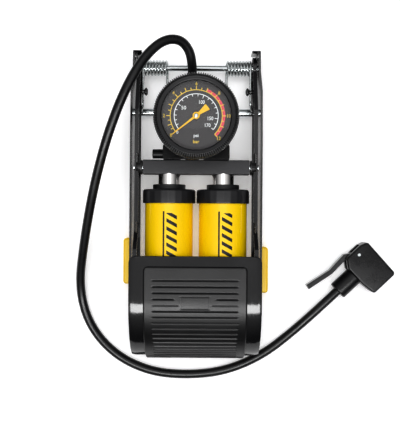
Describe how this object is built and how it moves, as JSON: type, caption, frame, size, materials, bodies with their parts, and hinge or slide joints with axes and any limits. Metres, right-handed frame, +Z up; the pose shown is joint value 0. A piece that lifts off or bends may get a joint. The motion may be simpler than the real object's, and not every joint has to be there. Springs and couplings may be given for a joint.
{
  "type": "foot air pump",
  "caption": "Foot air pump: side by side barrels slide on hollow rods under a hinged pedal arm, with a round gauge on the crossbar and a long hose ending in a lever chuck.",
  "frame": {"origin": "centre of the pump's footprint on the floor, hose and chuck left out", "axes": "+X to the pump's right side, +Y towards the hinge end, +Z up"},
  "size_m": [0.3108, 0.3243, 0.094],
  "materials": {
    "side_plates": "gloss black powder coat",
    "arm_steel": "gloss black powder coat",
    "pedal_steel": "gloss black powder coat",
    "bracket_steel": "satin black",
    "bright_steel": "zinc plated, bright",
    "spring_steel": "zinc plated wire",
    "rod_chrome": "polished chrome",
    "crossbar_metal": "satin dark grey",
    "barrel_paint": "gloss yellow paint",
    "black_plastic": "moulded, satin",
    "bezel_plastic": "ribbed, satin",
    "end_castings": "as cast",
    "seal_rubber": "matt",
    "pad_rubber": "matt, grooved",
    "foot_plastic": "moulded, satin yellow",
    "bush_plastic": "moulded",
    "brass": "turned",
    "dial": "printed scale",
    "needle_paint": "yellow enamel",
    "glass": "clear",
    "hose_rubber": "smooth",
    "chuck_plastic": "moulded, satin",
    "lever_plastic": "moulded"
  },
  "bodies": {
    "base": {"base_plate_left": "side_plates", "base_plate_right": "side_plates", "cross_rod": "bright_steel", "hinge_axle": "bright_steel", "barrel_bracket": "bracket_steel", "base_rivets": "bright_steel", "foot_left": "foot_plastic", "foot_right": "foot_plastic", "hose": "hose_rubber", "chuck_collar": "chuck_plastic", "chuck_body": "chuck_plastic", "chuck_cap": "chuck_plastic", "chuck_seal": "seal_rubber", "lever_pin": "bright_steel"},
    "arm": {"arm_rail_left": "arm_steel", "arm_rail_right": "arm_steel", "pedal_plate": "pedal_steel", "pedal_pad": "pad_rubber", "spring_knobs": "black_plastic", "pivot_bushes": "bush_plastic", "spring_left": "spring_steel", "spring_right": "spring_steel"},
    "manifold": {"crossbar": "crossbar_metal", "trunnion_pins": "bright_steel", "piston_rod_left": "rod_chrome", "piston_rod_right": "rod_chrome", "piston_left": "end_castings", "piston_right": "end_castings", "piston_seals": "seal_rubber", "check_balls": "bright_steel", "valve_housing": "black_plastic", "side_plug": "black_plastic", "gauge_stem": "brass", "hose_union": "brass", "gauge_case": "black_plastic", "gauge_bezel": "bezel_plastic", "gauge_lens": "glass", "gauge_dial": "dial", "gauge_movement": "brass", "bourdon_tube": "brass", "hose_rear": "hose_rubber"},
    "barrels": {"barrel_left": "barrel_paint", "barrel_right": "barrel_paint", "barrel_cap_left": "black_plastic", "barrel_cap_right": "black_plastic", "barrel_end_left": "end_castings", "barrel_end_right": "end_castings", "rod_glands": "black_plastic", "barrel_pivot_pin": "bright_steel"},
    "needle": {"gauge_needle": "needle_paint"},
    "lever": {"chuck_lever": "lever_plastic"},
    "plunger": {"chuck_plunger": "chuck_plastic"}
  },
  "joints": [
    {"name": "arm_fold", "type": "hinge", "parent": "base", "child": "arm", "pos_m": [0, 0.1347, 0.016], "axis": [-1, 0, 0], "range_deg": [0, 45]},
    {"name": "crossbar_pivot", "type": "hinge", "parent": "arm", "child": "manifold", "pos_m": [0, 0.0366, 0.034], "axis": [1, 0, 0], "range_deg": [0, 66.93]},
    {"name": "barrel_slide", "type": "slide", "parent": "manifold", "child": "barrels", "axis": [0, -1, 0], "range_m": [0, 0.05389]},
    {"name": "needle_turn", "type": "hinge", "parent": "manifold", "child": "needle", "pos_m": [0, 0.0787, 0.088], "axis": [0, 0, -1], "range_deg": [0, 263], "stiffness_Nm_per_rad": 0.001},
    {"name": "lever_lift", "type": "hinge", "parent": "base", "child": "lever", "pos_m": [0.15884, -0.04612, 0.0105], "axis": [0, 0, -1], "range_deg": [0, 90]},
    {"name": "plunger_press", "type": "slide", "parent": "base", "child": "plunger", "axis": [0.6884, -0.7254, 0], "range_m": [0, 0.002]}
  ],
  "couplings": [
    {"joint": "crossbar_pivot", "follows": "arm_fold", "ratio": 1.4872},
    {"joint": "barrel_slide", "follows": "arm_fold", "m_per_rad": 0.068595},
    {"joint": "plunger_press", "follows": "lever_lift", "m_per_rad": 0.0012732}
  ]
}
